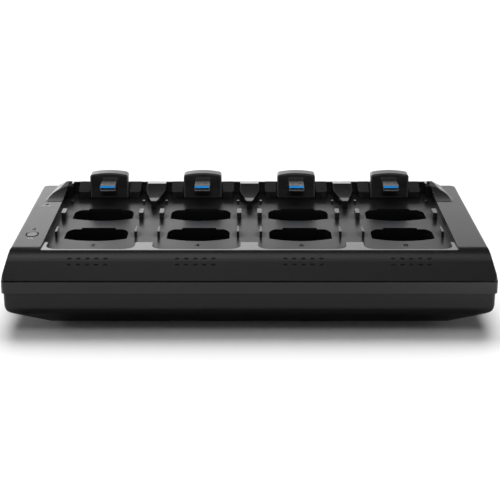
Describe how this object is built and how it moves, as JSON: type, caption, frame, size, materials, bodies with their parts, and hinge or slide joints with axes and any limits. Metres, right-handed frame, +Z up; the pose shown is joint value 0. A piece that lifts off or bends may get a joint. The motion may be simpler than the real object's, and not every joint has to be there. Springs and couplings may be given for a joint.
{
  "type": "multi-bay docking charger for body-worn radio packs",
  "caption": "Low black desktop docking charger: a deck of stepped battery pockets in bays, each bay closed at the back by a tilting arm with a plug, on a two-part case with a band.",
  "frame": {"origin": "middle of the footprint, on the surface that the feet stand on", "axes": "+X to the right seen from the front, +Y to the back where the arms are, +Z up"},
  "size_m": [0.345, 0.184, 0.0687],
  "materials": {
    "shell_black": "fine moulded texture",
    "band_black": "satin",
    "foot_rubber": "matt",
    "cover_black": "fine moulded texture",
    "deck_black": "satin",
    "rail_black": "satin, smoother than the deck",
    "liner_black": "matt",
    "bracket_black": "satin",
    "arm_gloss": "polished",
    "cap_grey": "fine moulded texture",
    "plug_steel": "nickel plated sheet",
    "tongue_blue": "moulded",
    "hinge_metal": "zinc plated",
    "gold_contact": "gold plated",
    "light_guide": "smoked, translucent",
    "led_chip": "moulded",
    "circuit_board": "solder mask",
    "connector_white": "moulded",
    "ribbon_grey": "flat cable",
    "socket_black": "moulded",
    "screw_black": "black zinc",
    "button_grey": "satin"
  },
  "bodies": {
    "case": {"bottom_shell": "shell_black", "side_band": "band_black", "rubber_feet": "foot_rubber", "top_shell": "cover_black", "deck_tray": "deck_black", "deck_guides": "deck_black", "front_rail": "rail_black", "rear_bridge": "cover_black", "pocket_liner_1": "liner_black", "pocket_liner_2": "liner_black", "pocket_liner_3": "liner_black", "pocket_liner_4": "liner_black", "pocket_liner_5": "liner_black", "pocket_liner_6": "liner_black", "pocket_liner_7": "liner_black", "pocket_liner_8": "liner_black", "battery_contacts": "gold_contact", "hinge_bracket_1": "bracket_black", "hinge_bracket_2": "bracket_black", "hinge_bracket_3": "bracket_black", "hinge_bracket_4": "bracket_black", "hinge_blocks": "hinge_metal", "hinge_pins": "hinge_metal", "hinge_springs": "hinge_metal", "bay_light_guide_1": "light_guide", "bay_light_guide_2": "light_guide", "bay_light_guide_3": "light_guide", "bay_light_guide_4": "light_guide", "flange_light_pipes": "light_guide", "led_board": "circuit_board", "indicator_leds": "led_chip", "button_board": "circuit_board", "tact_switch": "socket_black", "charging_board": "circuit_board", "io_board": "circuit_board", "board_connectors": "connector_white", "board_ribbon": "ribbon_grey", "ethernet_jack": "socket_black", "ethernet_contacts": "gold_contact", "power_inlet": "socket_black", "power_inlet_pin": "plug_steel", "case_screws": "screw_black", "board_screws": "plug_steel"},
    "button": {"power_button": "button_grey"},
    "arm_1": {"connector_arm_1": "arm_gloss", "arm_cap_1": "cap_grey", "usb_plug_shell_1": "plug_steel", "usb_plug_tongue_1": "tongue_blue"},
    "arm_2": {"connector_arm_2": "arm_gloss", "arm_cap_2": "cap_grey", "usb_plug_shell_2": "plug_steel", "usb_plug_tongue_2": "tongue_blue"},
    "arm_3": {"connector_arm_3": "arm_gloss", "arm_cap_3": "cap_grey", "usb_plug_shell_3": "plug_steel", "usb_plug_tongue_3": "tongue_blue"},
    "arm_4": {"connector_arm_4": "arm_gloss", "arm_cap_4": "cap_grey", "usb_plug_shell_4": "plug_steel", "usb_plug_tongue_4": "tongue_blue"}
  },
  "joints": [
    {"name": "arm_1_tilt", "type": "hinge", "parent": "case", "child": "arm_1", "pos_m": [-0.11288, 0.078, 0.05], "axis": [-1, 0, 0], "range_deg": [0, 20], "stiffness_Nm_per_rad": 0.2, "springref_deg": -20.05},
    {"name": "arm_2_tilt", "type": "hinge", "parent": "case", "child": "arm_2", "pos_m": [-0.03762, 0.078, 0.05], "axis": [-1, 0, 0], "range_deg": [0, 20], "stiffness_Nm_per_rad": 0.2, "springref_deg": -20.05},
    {"name": "arm_3_tilt", "type": "hinge", "parent": "case", "child": "arm_3", "pos_m": [0.03762, 0.078, 0.05], "axis": [-1, 0, 0], "range_deg": [0, 20], "stiffness_Nm_per_rad": 0.2, "springref_deg": -20.05},
    {"name": "arm_4_tilt", "type": "hinge", "parent": "case", "child": "arm_4", "pos_m": [0.11288, 0.078, 0.05], "axis": [-1, 0, 0], "range_deg": [0, 20], "stiffness_Nm_per_rad": 0.2, "springref_deg": -20.05},
    {"name": "power_button_press", "type": "slide", "parent": "case", "child": "button", "axis": [0, 0, -1], "range_m": [0, 0.0007], "stiffness_N_per_m": 700, "springref_m": -0.0006}
  ]
}
